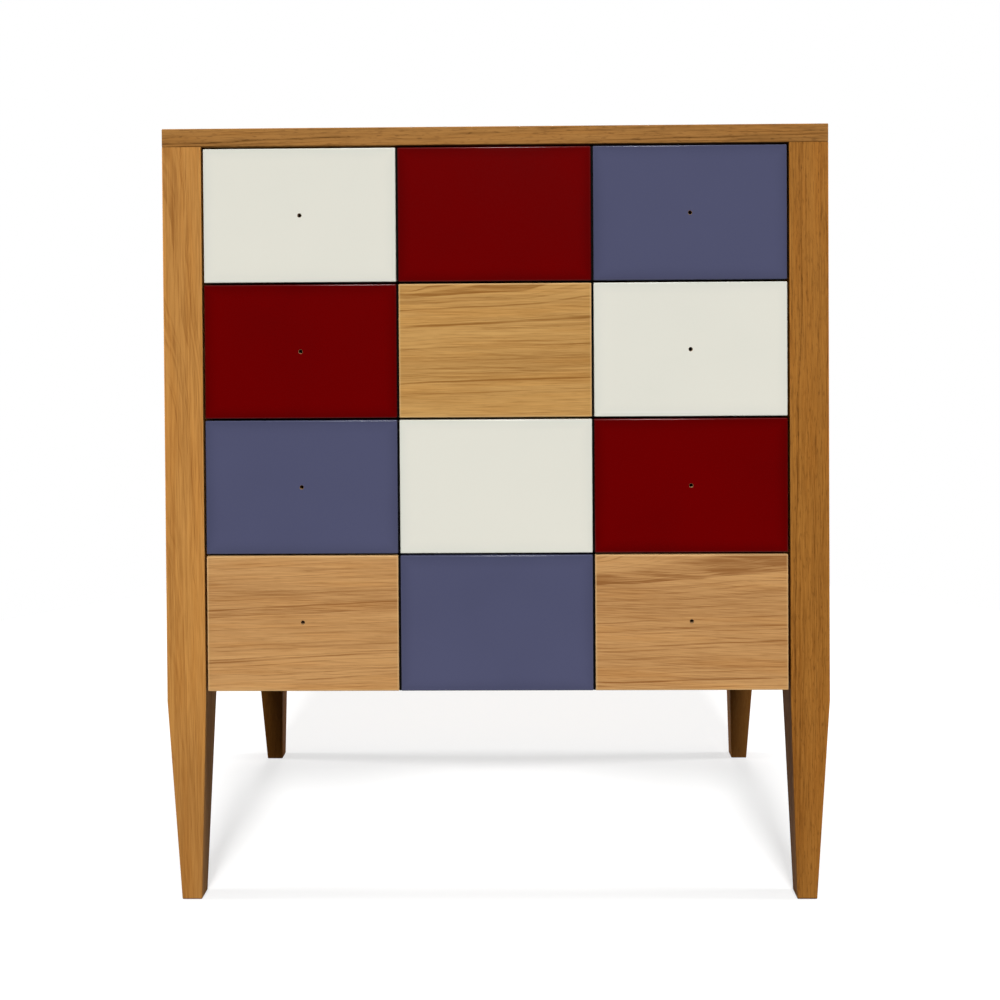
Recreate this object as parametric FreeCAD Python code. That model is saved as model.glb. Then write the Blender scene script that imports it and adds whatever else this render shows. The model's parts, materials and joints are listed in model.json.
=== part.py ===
import FreeCAD, Part
import os

from FreeCAD import Rotation, Vector

# Oak chest of drawers with coloured fronts, on four tapering corner posts.
# Sizes are in millimetres. +X is to the right, +Y to the back and +Z up. The origin
# lies on the floor under the middle of the chest, and the drawer fronts face -Y.

# Outline, posts and feet
overall_width = 800.0
overall_depth = 460.0
leg_clearance = 253.0         # floor to the lower edge of the lowest front
top_thickness = 22.0
post_width = 47.0             # across the front
post_depth = 47.0             # front to back
foot_outer_taper = 16.0       # taken off the outer side of a leg at the floor
foot_inner_taper = 7.0        # taken off the inner side
foot_depth_taper = 23.0       # taken off the face that looks under the chest
taper_drop = 12.0             # from the lowest front down to the start of the taper
arris = 1.0                   # small chamfer along worked edges

# Carcass boards
side_thickness = 18.0
side_inset = 5.0              # side panel behind the outer face of the posts
tongue_thickness = 8.0
tongue_length = 10.0
groove_clearance = 0.2        # glue room in grooves, across and at the end
back_thickness = 6.0
back_inset = 8.0              # back panel in from the rear face of the posts
back_groove_depth = 8.0
bottom_thickness = 12.0
rail_thickness = 18.0
rail_depth = 70.0
batten_height = 60.0

# Drawer fronts
drawer_count = 4
columns = ("left", "centre", "right")   # panels of one drawer
front_height = 161.0
lowest_front_lip = 2.7        # extra height below the lowest row
row_gap = 2.7
column_gap = 2.7
front_thickness = 16.0
front_arris = 0.8
knob_hole_radius = 2.25

# Drawer boxes
box_front_thickness = 12.0
box_front_margin = 4.0        # box front inside the upper and lower edge of the panels
box_side_thickness = 12.0
box_back_thickness = 12.0
box_bottom_thickness = 6.0
box_bottom_rise = 10.0        # drawer bottom above the lower edge of the sides
box_groove_depth = 6.0
housing_depth = 4.0           # sides let into the box front, back let into the sides
floor_clearance = 8.0         # box over the bottom panel
rail_clearance = 5.0          # box under the top rails
front_clearance = 2.0         # box front to the rails and the bottom panel
box_rear_clearance = 16.0     # box to the back panel

# Telescopic slides
slide_thickness = 12.7
slide_height = 45.0
slide_sheet = 1.2
slide_rise = 60.0             # middle of a slide above the lower edge of the drawer sides
slide_running_gap = 0.3       # between nested flanges
slide_web_gap = 1.8           # between the cabinet web and the middle web, over screw heads
slide_lip_gap = 0.6           # free edges of the flanges to the next web

# Dowels and screws
dowel_radius = 4.0
dowel_length = 28.0
dowel_skin = 7.0              # wood left under a dowel hole in a board's face
dowel_pitch = 120.0
fastener_clearance = 0.1      # round dowels and screws
screw_radius = 1.9
screw_tip = 3.0
screw_point_radius = 0.4
pan_head_radius = 3.4
pan_head_height = 1.2
sunk_head_radius = 3.8
sunk_head_height = 2.2
slide_screw_end = 8.5         # first and last slide screw from the slide's ends
slide_screw_skin = 8.0        # batten left behind a slide screw
rail_screw_skin = 2.0         # drawer side left behind a slide screw
front_screw_skin = 6.0        # panel left in front of a front screw
front_screw_spread = 90.0     # between the two screws of a panel
top_screw_skin = 8.0          # top board left over a top screw
top_screw_pitch = 240.0
top_screw_count = 3

# Places that follow from the sizes
half_width = overall_width / 2
front_y = -overall_depth / 2
back_y = overall_depth / 2
post_inner_x = half_width - post_width
post_rear_y = front_y + post_depth             # rear face of the front posts
carcass_base = leg_clearance + lowest_front_lip
row_pitch = front_height + row_gap
post_top = carcass_base + drawer_count * row_pitch
taper_start = leg_clearance - taper_drop
side_outer_x = half_width - side_inset
side_inner_x = side_outer_x - side_thickness
tongue_middle_x = side_outer_x - side_thickness / 2
batten_thickness = side_inner_x - post_inner_x
back_rear_y = back_y - back_inset
back_front_y = back_rear_y - back_thickness
column_count = len(columns)
panel_width = (2 * post_inner_x - (column_count + 1) * column_gap) / column_count
column_pitch = panel_width + column_gap
box_front_y = front_y + front_thickness        # front face of the box front
box_front_rear_y = box_front_y + box_front_thickness
interior_front_y = box_front_rear_y + front_clearance
box_rear_y = back_front_y - box_rear_clearance
box_half_width = post_inner_x - slide_thickness
box_inner_x = box_half_width - box_side_thickness
slide_half_height = slide_height / 2


def box(x_ends, y_ends, z_ends):
    """Return a block between two places along each axis."""
    low = Vector(min(x_ends), min(y_ends), min(z_ends))
    high = Vector(max(x_ends), max(y_ends), max(z_ends))
    size = high - low
    return Part.makeBox(size.x, size.y, size.z, low)


def single(shape):
    """Return the one solid of a shape, with split faces joined."""
    return shape.removeSplitter().Solids[0]


def joined(shapes):
    """Return touching shapes as one solid."""
    return single(shapes[0].multiFuse(shapes[1:]))


def drilled(shape, holes):
    """Return a shape less the holes."""
    return single(shape.cut(holes))


def eased(shape, size):
    """Return a block with all its edges chamfered."""
    return shape.makeChamfer(size, shape.Edges)


def turned(outline, start, direction):
    """Return the solid of an outline of (radius, distance) points turned about a line."""
    points = [Vector(radius, 0, distance) for radius, distance in outline]
    face = Part.Face(Part.makePolygon(points + points[:1]))
    shape = face.revolve(Vector(0, 0, 0), Vector(0, 0, 1), 360)
    shape.Placement = FreeCAD.Placement(start, Rotation(Vector(0, 0, 1), direction))
    return shape


def row_base(row):
    """Return the lower edge of a row of fronts, where row 0 is the top one."""
    return post_top - (row + 1) * row_pitch


def box_span(row):
    """Return the lower and upper edge of a drawer box's sides."""
    lower = row_base(row) + bottom_thickness + floor_clearance
    upper = row_base(row) + row_pitch - rail_thickness - rail_clearance
    return lower, upper


def slide_middle(row):
    """Return the height of the middle of a row's slides."""
    return box_span(row)[0] + slide_rise


def panel_left(column):
    """Return the left edge of a front panel, where column 0 is the left one."""
    return -post_inner_x + column_gap + column * column_pitch


def panel_middle(column):
    """Return the middle of a front panel across the chest."""
    return panel_left(column) + panel_width / 2


# Fasteners

def dowel(start, direction):
    """Return a dowel from its end in the board's face."""
    return Part.makeCylinder(dowel_radius, dowel_length, start, direction)


def dowel_hole(start, direction):
    """Return the room for a dowel."""
    radius = dowel_radius + fastener_clearance
    base = start - direction * fastener_clearance
    return Part.makeCylinder(radius, dowel_length + 2 * fastener_clearance, base, direction)


def pan_screw(seat, direction, length):
    """Return a pan-head screw whose head rests on its seat."""
    outline = [
        (0, -pan_head_height),
        (pan_head_radius, -pan_head_height),
        (pan_head_radius, 0),
        (screw_radius, 0),
        (screw_radius, length - screw_tip),
        (screw_point_radius, length),
        (0, length),
    ]
    return turned(outline, seat, direction)


def pan_hole(seat, direction, length):
    """Return the room for the shank of a pan-head screw."""
    radius = screw_radius + fastener_clearance
    return Part.makeCylinder(radius, length + fastener_clearance, seat, direction)


def sunk_screw(seat, direction, length):
    """Return a countersunk screw whose head is flush with its seat."""
    outline = [
        (0, 0),
        (sunk_head_radius, 0),
        (screw_radius, sunk_head_height),
        (screw_radius, length - screw_tip),
        (screw_point_radius, length),
        (0, length),
    ]
    return turned(outline, seat, direction)


def sunk_hole(seat, direction, length):
    """Return the room for a countersunk screw."""
    outline = [
        (0, 0),
        (sunk_head_radius + fastener_clearance, 0),
        (screw_radius + fastener_clearance, sunk_head_height),
        (screw_radius + fastener_clearance, length + fastener_clearance),
        (0, length + fastener_clearance),
    ]
    return turned(outline, seat, direction)


def side_dowel_places():
    """Yield the start and direction of the dowels between the sides and the boards across."""
    depth = side_thickness - dowel_skin
    rail_z = post_top - rail_thickness / 2
    front_rail_y = (post_rear_y + interior_front_y + rail_depth) / 2
    rear_rail_y = (back_front_y - rail_depth - post_rear_y) / 2
    bottom_z = carcass_base + bottom_thickness / 2
    places = [(front_rail_y, rail_z), (rear_rail_y, rail_z)]
    places += [(step * dowel_pitch, bottom_z) for step in (-1, 0, 1)]
    for side in (-1, 1):
        for y, z in places:
            yield Vector(side * (side_inner_x + depth), y, z), Vector(-side, 0, 0)


def top_dowel_places():
    """Yield the start and direction of the dowels between the top board and the posts."""
    depth = top_thickness - dowel_skin
    for side in (-1, 1):
        for end in (-1, 1):
            x = side * (half_width - post_width / 2)
            y = end * (back_y - post_depth / 2)
            yield Vector(x, y, post_top + depth), Vector(0, 0, -1)


def dowel_places():
    """Return the start and direction of every dowel."""
    return list(side_dowel_places()) + list(top_dowel_places())


def top_screw_places():
    """Yield the seat, direction and length of the screws through the top rails."""
    length = rail_thickness + top_thickness - top_screw_skin
    first = -top_screw_pitch * (top_screw_count - 1) / 2
    for y in (interior_front_y + rail_depth / 2, back_front_y - rail_depth / 2):
        for number in range(top_screw_count):
            seat = Vector(first + number * top_screw_pitch, y, post_top - rail_thickness)
            yield seat, Vector(0, 0, 1), length


def slide_screw_ys():
    """Return the places of a slide's screws along it."""
    middle = (interior_front_y + box_rear_y) / 2
    return interior_front_y + slide_screw_end, middle, box_rear_y - slide_screw_end


def cabinet_screw_places():
    """Yield the seat, direction and length of the screws of the cabinet members."""
    length = slide_sheet + batten_thickness - slide_screw_skin
    for row in range(drawer_count):
        for side in (-1, 1):
            for y in slide_screw_ys():
                seat = Vector(side * (post_inner_x - slide_sheet), y, slide_middle(row))
                yield seat, Vector(side, 0, 0), length


def rail_screw_places(row):
    """Yield the seat, direction and length of the screws of a drawer's slide members."""
    length = slide_sheet + box_side_thickness - rail_screw_skin
    for side in (-1, 1):
        for y in slide_screw_ys():
            seat = Vector(side * (box_half_width + slide_sheet), y, slide_middle(row))
            yield seat, Vector(-side, 0, 0), length


def front_screw_places(row):
    """Yield the seat, direction and length of the screws that hold a drawer's panels."""
    length = box_front_thickness + front_thickness - front_screw_skin
    z = row_base(row) + front_height / 2
    for column in range(column_count):
        for step in (-0.5, 0.5):
            x = panel_middle(column) + step * front_screw_spread
            yield Vector(x, box_front_rear_y, z), Vector(0, -1, 0), length


dowel_holes = [dowel_hole(*place) for place in dowel_places()]
top_screw_holes = [sunk_hole(*place) for place in top_screw_places()]
cabinet_screw_holes = [pan_hole(*place) for place in cabinet_screw_places()]


# Carcass

def post_outline(side, end, z, inset):
    """Return the eased outline of a post at one height, drawn in by an inset all round."""
    share = max(0.0, 1.0 - z / taper_start)
    x_outer = half_width - foot_outer_taper * share - inset
    x_inner = post_inner_x + foot_inner_taper * share + inset
    y_outer = back_y - inset
    y_inner = back_y - post_depth + foot_depth_taper * share + inset
    corners = [(x_inner, y_inner, 1, 1), (x_outer, y_inner, -1, 1), (x_outer, y_outer, -1, -1),
               (x_inner, y_outer, 1, -1)]
    points = []
    for x, y, x_step, y_step in corners:
        along_x = Vector(side * (x + x_step * arris), end * y, z)
        along_y = Vector(side * x, end * (y + y_step * arris), z)
        points += [along_y, along_x] if x_step == y_step else [along_x, along_y]
    return points


def skinned(outlines):
    """Return the solid between flat outlines of equal point count, with flat faces."""
    faces = [Part.Face(Part.makePolygon(outline + outline[:1])) for outline in (outlines[0], outlines[-1])]
    for lower, upper in zip(outlines, outlines[1:]):
        for here in range(len(lower)):
            after = (here + 1) % len(lower)
            corners = [lower[here], lower[after], upper[after], upper[here], lower[here]]
            faces.append(Part.Face(Part.makePolygon(corners)))
    solid = Part.Solid(Part.Shell(faces))
    if solid.Volume < 0:
        solid.reverse()
    return solid


def post(side, end):
    """Return a corner post with its foot and the grooves for the side and back panels."""
    outlines = [post_outline(side, end, 0, arris), post_outline(side, end, arris, 0)]
    outlines += [post_outline(side, end, z, 0) for z in (taper_start, post_top)]
    half_groove = (tongue_thickness + groove_clearance) / 2
    groove_x = [side * (tongue_middle_x + step * half_groove) for step in (-1, 1)]
    groove_end = post_rear_y - tongue_length - groove_clearance
    grooves = [box(groove_x, (end * -post_rear_y, end * -groove_end), (carcass_base, post_top))]
    if end > 0:
        groove_y = (back_front_y - groove_clearance / 2, back_rear_y + groove_clearance / 2)
        back_x = (side * post_inner_x, side * (post_inner_x + back_groove_depth + groove_clearance))
        grooves.append(box(back_x, groove_y, (carcass_base, post_top)))
    return drilled(skinned(outlines), grooves + dowel_holes + cabinet_screw_holes)


def top_board():
    """Return the top board with its blind holes."""
    blank = box((-half_width, half_width), (front_y, back_y), (post_top, post_top + top_thickness))
    return drilled(eased(blank, arris), dowel_holes + top_screw_holes)


def side_panel(side):
    """Return a side panel with a tongue along its front and rear edge."""
    z_ends = (carcass_base, post_top)
    panel_x = (side * side_inner_x, side * side_outer_x)
    panel = box(panel_x, (post_rear_y, -post_rear_y), z_ends)
    tongue_x = [side * (tongue_middle_x + step * tongue_thickness / 2) for step in (-1, 1)]
    tongue_y = post_rear_y - tongue_length
    return drilled(joined([panel, box(tongue_x, (tongue_y, -tongue_y), z_ends)]), dowel_holes)


def back_panel():
    """Return the back panel, which stands in the grooves of the rear posts."""
    reach = post_inner_x + back_groove_depth
    return box((-reach, reach), (back_front_y, back_rear_y), (carcass_base, post_top))


def board_across(y_ends, z_ends):
    """Return a board between the side panels, notched round the posts."""
    board = box((-side_inner_x, side_inner_x), y_ends, z_ends)
    notches = []
    for side in (-1, 1):
        for end in (-1, 1):
            notch_x = (side * post_inner_x, side * half_width)
            notches.append(box(notch_x, (end * -post_rear_y, end * back_y), z_ends))
    return single(board.cut(notches))


def bottom_panel():
    """Return the panel under the lowest drawer."""
    panel = board_across((interior_front_y, back_front_y), (carcass_base, carcass_base + bottom_thickness))
    return drilled(panel, dowel_holes)


def top_rail(y_ends):
    """Return a flat rail under the top board."""
    rail = board_across(y_ends, (post_top - rail_thickness, post_top))
    return drilled(rail, dowel_holes + top_screw_holes)


def runner_battens():
    """Return the battens that bring the side panels flush with the posts."""
    battens = []
    for row in range(drawer_count):
        z_ends = [slide_middle(row) + step * batten_height / 2 for step in (-1, 1)]
        for side in (-1, 1):
            batten = box((side * post_inner_x, side * side_inner_x), (post_rear_y, -post_rear_y), z_ends)
            battens.append(drilled(batten, cabinet_screw_holes))
    return Part.makeCompound(battens)


# Telescopic slides

def channel(side, web, lip, half_height, row):
    """Return a channel of folded sheet.

    Web and lip are distances from the post's inner face: the outer face of the web and
    the free edge of the flanges.
    """
    middle = slide_middle(row)
    fold = slide_sheet if lip > web else -slide_sheet
    y_ends = (interior_front_y, box_rear_y)
    web_x = [side * (post_inner_x - distance) for distance in (web, web + fold)]
    flange_x = [side * (post_inner_x - distance) for distance in (web, lip)]
    pieces = [box(web_x, y_ends, (middle - half_height, middle + half_height))]
    for step in (-1, 1):
        flange_z = (middle + step * half_height, middle + step * (half_height - slide_sheet))
        pieces.append(box(flange_x, y_ends, flange_z))
    return joined(pieces)


middle_web = slide_sheet + slide_web_gap
nesting_step = slide_sheet + slide_running_gap
drawer_lip = middle_web + slide_sheet + slide_lip_gap
cabinet_lip = slide_thickness - slide_sheet - slide_lip_gap


def cabinet_slides():
    """Return the slide members on the posts and battens."""
    members = []
    for row in range(drawer_count):
        for side in (-1, 1):
            member = channel(side, 0, cabinet_lip, slide_half_height, row)
            members.append(drilled(member, cabinet_screw_holes))
    return Part.makeCompound(members)


def middle_slides(row):
    """Return a drawer's two middle members, which run inside the cabinet members."""
    half_height = slide_half_height - nesting_step
    members = [channel(side, middle_web, cabinet_lip, half_height, row) for side in (-1, 1)]
    return Part.makeCompound(members)


def drawer_slides(row):
    """Return a drawer's own two slide members, which run inside the middle members."""
    half_height = slide_half_height - 2 * nesting_step
    holes = rail_screw_holes(row)
    members = [channel(side, slide_thickness, drawer_lip, half_height, row) for side in (-1, 1)]
    return Part.makeCompound([drilled(member, holes) for member in members])


# Drawers

def knob_holes(row):
    """Return the holes for knobs in the outer panels and the box front."""
    z = row_base(row) + front_height / 2
    depth = front_thickness + box_front_thickness
    places = [Vector(panel_middle(column), front_y, z) for column in (0, column_count - 1)]
    return [Part.makeCylinder(knob_hole_radius, depth, place, Vector(0, 1, 0)) for place in places]


def front_panel(row, column, holes):
    """Return one front panel."""
    left = panel_left(column)
    lip = lowest_front_lip if row == drawer_count - 1 else 0
    z_ends = (row_base(row) - lip, row_base(row) + front_height)
    panel = box((left, left + panel_width), (front_y, box_front_y), z_ends)
    return drilled(eased(panel, front_arris), holes)


def box_side_block(row, side):
    """Return a drawer side before its groove and housing."""
    y_ends = (box_front_rear_y - housing_depth, box_rear_y)
    return box((side * box_inner_x, side * box_half_width), y_ends, box_span(row))


def box_bottom_span(row):
    """Return the lower and upper face of a drawer bottom."""
    lower = box_span(row)[0] + box_bottom_rise
    return lower, lower + box_bottom_thickness


def box_groove(row):
    """Return the room for a drawer bottom in the sides and the box front."""
    reach = box_inner_x + box_groove_depth
    lower, upper = box_bottom_span(row)
    y_ends = (box_front_rear_y - box_groove_depth, box_rear_y)
    return box((-reach, reach), y_ends, (lower, upper + groove_clearance))


def box_back_block(row):
    """Return a drawer back before its screw holes. It stands on the drawer bottom."""
    reach = box_inner_x + housing_depth
    z_ends = (box_bottom_span(row)[1] + groove_clearance, box_span(row)[1])
    return box((-reach, reach), (box_rear_y - box_back_thickness, box_rear_y), z_ends)


def rail_screw_holes(row):
    """Return the room for the screws of a drawer's slide members."""
    return [pan_hole(*place) for place in rail_screw_places(row)]


def box_back(row):
    """Return a drawer back, into whose ends the last slide screws bite."""
    return drilled(box_back_block(row), rail_screw_holes(row))


def box_front(row, holes):
    """Return the board behind a drawer's panels."""
    base = row_base(row)
    z_ends = (base + box_front_margin, base + front_height - box_front_margin)
    board = box((-box_half_width, box_half_width), (box_front_y, box_front_rear_y), z_ends)
    housings = [box_side_block(row, side) for side in (-1, 1)]
    return drilled(board, holes + housings + [box_groove(row)])


def box_side(row, side):
    """Return a drawer side."""
    rooms = rail_screw_holes(row) + [box_groove(row), box_back_block(row)]
    return drilled(box_side_block(row, side), rooms)


def box_bottom(row):
    """Return a drawer bottom, slid into its grooves from behind."""
    reach = box_inner_x + box_groove_depth - groove_clearance
    y_ends = (box_front_rear_y - box_groove_depth + groove_clearance, box_rear_y)
    return box((-reach, reach), y_ends, box_bottom_span(row))


def drawer_screws(row):
    """Return the screws of a drawer's panels and slide members."""
    screws = [sunk_screw(*place) for place in front_screw_places(row)]
    screws += [pan_screw(*place) for place in rail_screw_places(row)]
    return Part.makeCompound(screws)


def drawer_pieces(row):
    """Yield the name and shape of each piece of one drawer."""
    name = "drawer_" + str(row + 1)
    holes = knob_holes(row) + [sunk_hole(*place) for place in front_screw_places(row)]
    for column, word in enumerate(columns):
        yield name + "_front_" + word, front_panel(row, column, holes)
    yield name + "_box_front", box_front(row, holes)
    yield name + "_left_side", box_side(row, -1)
    yield name + "_right_side", box_side(row, 1)
    yield name + "_back", box_back(row)
    yield name + "_bottom", box_bottom(row)
    yield name + "_slides", drawer_slides(row)
    yield name + "_screws", drawer_screws(row)
    yield name + "_middle_slides", middle_slides(row)


def carcass_pieces():
    """Yield the name and shape of each piece that stands still."""
    yield "top_board", top_board()
    yield "front_left_post", post(-1, -1)
    yield "front_right_post", post(1, -1)
    yield "rear_left_post", post(-1, 1)
    yield "rear_right_post", post(1, 1)
    yield "left_side_panel", side_panel(-1)
    yield "right_side_panel", side_panel(1)
    yield "back_panel", back_panel()
    yield "bottom_panel", bottom_panel()
    yield "front_top_rail", top_rail((interior_front_y, interior_front_y + rail_depth))
    yield "rear_top_rail", top_rail((back_front_y - rail_depth, back_front_y))
    yield "runner_battens", runner_battens()
    yield "carcass_dowels", Part.makeCompound([dowel(*place) for place in dowel_places()])
    yield "top_board_screws", Part.makeCompound([sunk_screw(*place) for place in top_screw_places()])
    yield "cabinet_slides", cabinet_slides()
    yield "cabinet_slide_screws", Part.makeCompound([pan_screw(*place) for place in cabinet_screw_places()])


def main():
    """Write one file for each piece."""
    os.makedirs("parts", exist_ok=True)
    pieces = list(carcass_pieces())
    for row in range(drawer_count):
        pieces += drawer_pieces(row)
    for name, shape in pieces:
        shape.exportStep(os.path.join("parts", name + ".step"))
        print(name, len(shape.Solids), round(shape.Volume), shape.isValid())


main()
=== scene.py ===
"""Looks of an oak chest of drawers with lacquered and oak fronts.

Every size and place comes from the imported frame. The boards that show are modelled again with
rounded arrises and bored fronts, and each surface gets a procedural finish of its own.
"""

import json
import logging
import math
from abc import ABC, abstractmethod
from collections.abc import Mapping, Sequence
from dataclasses import dataclass
from enum import Enum
from functools import reduce

import bmesh
import bpy
from mathutils import Color, Euler, Matrix, Vector

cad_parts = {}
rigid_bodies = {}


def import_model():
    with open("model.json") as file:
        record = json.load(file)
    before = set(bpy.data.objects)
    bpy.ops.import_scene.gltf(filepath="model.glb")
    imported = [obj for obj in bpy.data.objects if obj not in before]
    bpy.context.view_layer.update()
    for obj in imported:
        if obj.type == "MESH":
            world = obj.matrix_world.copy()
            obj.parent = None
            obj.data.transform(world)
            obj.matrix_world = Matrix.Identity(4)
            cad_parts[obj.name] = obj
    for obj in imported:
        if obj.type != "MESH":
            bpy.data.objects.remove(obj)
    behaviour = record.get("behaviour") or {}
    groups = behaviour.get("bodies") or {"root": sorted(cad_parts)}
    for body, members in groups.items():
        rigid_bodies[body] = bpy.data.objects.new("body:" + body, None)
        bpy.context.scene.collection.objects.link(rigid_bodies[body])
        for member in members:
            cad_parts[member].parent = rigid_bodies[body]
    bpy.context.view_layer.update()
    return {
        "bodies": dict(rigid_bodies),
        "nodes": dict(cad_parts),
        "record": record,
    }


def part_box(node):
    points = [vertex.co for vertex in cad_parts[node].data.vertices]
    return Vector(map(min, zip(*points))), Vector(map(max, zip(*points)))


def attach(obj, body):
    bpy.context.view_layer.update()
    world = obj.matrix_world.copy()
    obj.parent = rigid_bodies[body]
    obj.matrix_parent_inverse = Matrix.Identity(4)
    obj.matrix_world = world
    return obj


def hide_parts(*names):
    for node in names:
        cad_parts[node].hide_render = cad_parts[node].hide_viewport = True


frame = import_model()
MM = 0.001
PER_METRE = 1000.0
IMAGE_SIDE = 1000.0
SCREEN_FULL = 255.0
ORIGIN = (0.0, 0.0, 0.0)
LOG = logging.getLogger("chest")

Colour = tuple[float, float, float, float]
Span = tuple[float, float]
Triple = tuple[float, float, float]
Edge = bmesh.types.BMEdge
Face = bmesh.types.BMFace
Mesh = bmesh.types.BMesh
Node = bpy.types.Node
Outputs = bpy.types.NodeOutputs
Socket = bpy.types.NodeSocket

# The fronts' attribute that is 0 in the middle and 1 at the rim, and the values it has over an arris.
RIM = "rim"
ARRIS: Span = (0.92, 1.0)


def screen(red: int, green: int, blue: int) -> Colour:
    """Return a colour in screen values, from 0 to 255, as linear light with full alpha."""
    shown = Color((red, green, blue)) / SCREEN_FULL
    return *shown.from_srgb_to_scene_linear(), 1.0


def grey(level: float) -> Colour:
    """Return a grey of the given linear level with full alpha."""
    return level, level, level, 1.0


class Grain(Enum):
    """The way a board's grain runs, as the turn in degrees that brings it to the pattern's X axis."""

    ACROSS = (0.0, 0.0, 0.0)
    DEEP = (0.0, 0.0, -90.0)
    UPRIGHT = (0.0, 90.0, 0.0)

    def turn(self) -> Matrix:
        """Return the turn as a matrix."""
        return Euler([math.radians(angle) for angle in self.value]).to_matrix()


class Plug(Enum):
    """The kinds of socket that a node group has."""

    VALUE = "NodeSocketFloat"
    VECTOR = "NodeSocketVector"
    COLOUR = "NodeSocketColor"


class Column(Enum):
    """The columns of front panels."""

    LEFT = "left"
    CENTRE = "centre"
    RIGHT = "right"


@dataclass(frozen=True)
class Noise:
    """A noise: cells per millimetre along each axis, octaves, what each keeps, and where patches ease in."""

    rate: Triple
    detail: float = 2.0
    rough: float = 0.5
    low: float = 0.0
    high: float = 1.0


class NodeSheet:
    """A node tree with short ways to add and wire its nodes."""

    LENGTHS = ("LENGTH", "DOT_PRODUCT")

    def __init__(self, tree: bpy.types.NodeTree) -> None:
        """Take the tree that the nodes go into, and empty it."""
        self.tree = tree
        tree.nodes.clear()

    def put(self, socket: Socket, value: object) -> None:
        """Wire a socket to another one, or set it to a plain value.

        Args:
            socket: The input.
            value: An output socket, a number or a tuple.
        """
        if isinstance(value, Socket):
            self.tree.links.new(value, socket)
        else:
            socket.default_value = value

    def add(self, kind: str, inputs: Mapping[str | int, object], **settings: object) -> Node:
        """Add a node.

        Args:
            kind: Blender's name of the node type.
            inputs: Values or sockets by the input's name or number.
            **settings: Properties of the node.

        Returns:
            The node.
        """
        node = self.tree.nodes.new(kind)
        for name, value in settings.items():
            setattr(node, name, value)
        for name, value in inputs.items():
            self.put(node.inputs[name], value)
        return node

    def math(self, operation: str, *values: object) -> Socket:
        """Return the result of a Math node."""
        return self.add("ShaderNodeMath", dict(enumerate(values)), operation=operation).outputs[0]

    def vector(self, operation: str, *values: object) -> Socket:
        """Return the result of a Vector Math node."""
        node = self.add("ShaderNodeVectorMath", dict(enumerate(values)), operation=operation)
        return node.outputs["Value" if operation in self.LENGTHS else "Vector"]

    def total(self, *values: object) -> Socket:
        """Return the sum of several values."""
        return reduce(lambda first, second: self.math("ADD", first, second), values)

    def times(self, *values: object) -> Socket:
        """Return the product of several values."""
        return reduce(lambda first, second: self.math("MULTIPLY", first, second), values)

    def inverse(self, value: Socket) -> Socket:
        """Return 1 less a value."""
        return self.math("SUBTRACT", 1.0, value)

    def between(self, value: Socket, low: float, high: float) -> Socket:
        """Return a value from 0 to 1 as one from low to high."""
        return self.math("MULTIPLY_ADD", value, high - low, low)

    def sway(self, value: Socket, reach: float) -> Socket:
        """Return a value from 0 to 1 as a swing about 0 with a given reach."""
        return self.between(value, -reach, reach)

    def ease(self, value: Socket, low: float, high: float) -> Socket:
        """Return a smooth step from 0 at low to 1 at high."""
        inputs = {"Value": value, "From Min": low, "From Max": high}
        return self.add("ShaderNodeMapRange", inputs, interpolation_type="SMOOTHSTEP").outputs[0]

    def axis(self, place: Socket, name: str) -> Socket:
        """Return one axis of a place."""
        return self.add("ShaderNodeSeparateXYZ", {"Vector": place}).outputs[name]

    def coordinate(self, name: str) -> Socket:
        """Return a texture coordinate."""
        return self.add("ShaderNodeTexCoord", {}).outputs[name]

    def chance(self, number: Socket) -> Outputs:
        """Return the Value and Color that belong to a whole number by chance."""
        return self.add("ShaderNodeTexWhiteNoise", {"W": number}, noise_dimensions="1D").outputs

    def blend(self, factor: object, first: object, second: object, how: str = "MIX") -> Socket:
        """Mix two colours.

        Args:
            factor: Share of the second colour.
            first: First colour.
            second: Second colour.
            how: Blender's name of the way to mix.

        Returns:
            The mixed colour.
        """
        node = self.add("ShaderNodeMix", {0: factor}, data_type="RGBA", blend_type=how)
        colours = [socket for socket in node.inputs if socket.type == "RGBA"]
        for socket, value in zip(colours, (first, second)):
            self.put(socket, value)
        return next(socket for socket in node.outputs if socket.type == "RGBA")


class PatternGroup(NodeSheet, ABC):
    """A shader node group that is built once for several materials, and whose first input is a place."""

    title: str
    takes: Mapping[str, Plug]
    gives: Mapping[str, Plug] = {"Color": Plug.COLOUR, "Roughness": Plug.VALUE, "Height": Plug.VALUE}

    def __init__(self) -> None:
        """Build the group's tree."""
        super().__init__(bpy.data.node_groups.new(self.title, "ShaderNodeTree"))
        for names, way in ((self.takes, "INPUT"), (self.gives, "OUTPUT")):
            for name, plug in names.items():
                self.tree.interface.new_socket(name, in_out=way, socket_type=plug.value)
        self.given = self.add("NodeGroupInput", {}).outputs
        self.place = self.given[0]
        self.add("NodeGroupOutput", self.draw())

    @abstractmethod
    def draw(self) -> dict[str, Socket]:
        """Draw the pattern.

        Returns:
            The group's outputs by name.
        """

    def cells(self, noise: Noise) -> Outputs:
        """Read a noise at the place.

        Args:
            noise: The noise.

        Returns:
            Its Fac and Color.
        """
        place = self.vector("MULTIPLY", self.place, noise.rate)
        inputs = {"Vector": place, "Scale": 1.0, "Detail": noise.detail, "Roughness": noise.rough}
        return self.add("ShaderNodeTexNoise", inputs).outputs

    def noise(self, noise: Noise) -> Socket:
        """Return a noise at the place, from 0 to 1."""
        return self.cells(noise)["Fac"]

    def patches(self, noise: Noise) -> Socket:
        """Return a noise at the place as patches: 0 up to its low value and 1 from its high one."""
        return self.ease(self.noise(noise), noise.low, noise.high)


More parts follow.
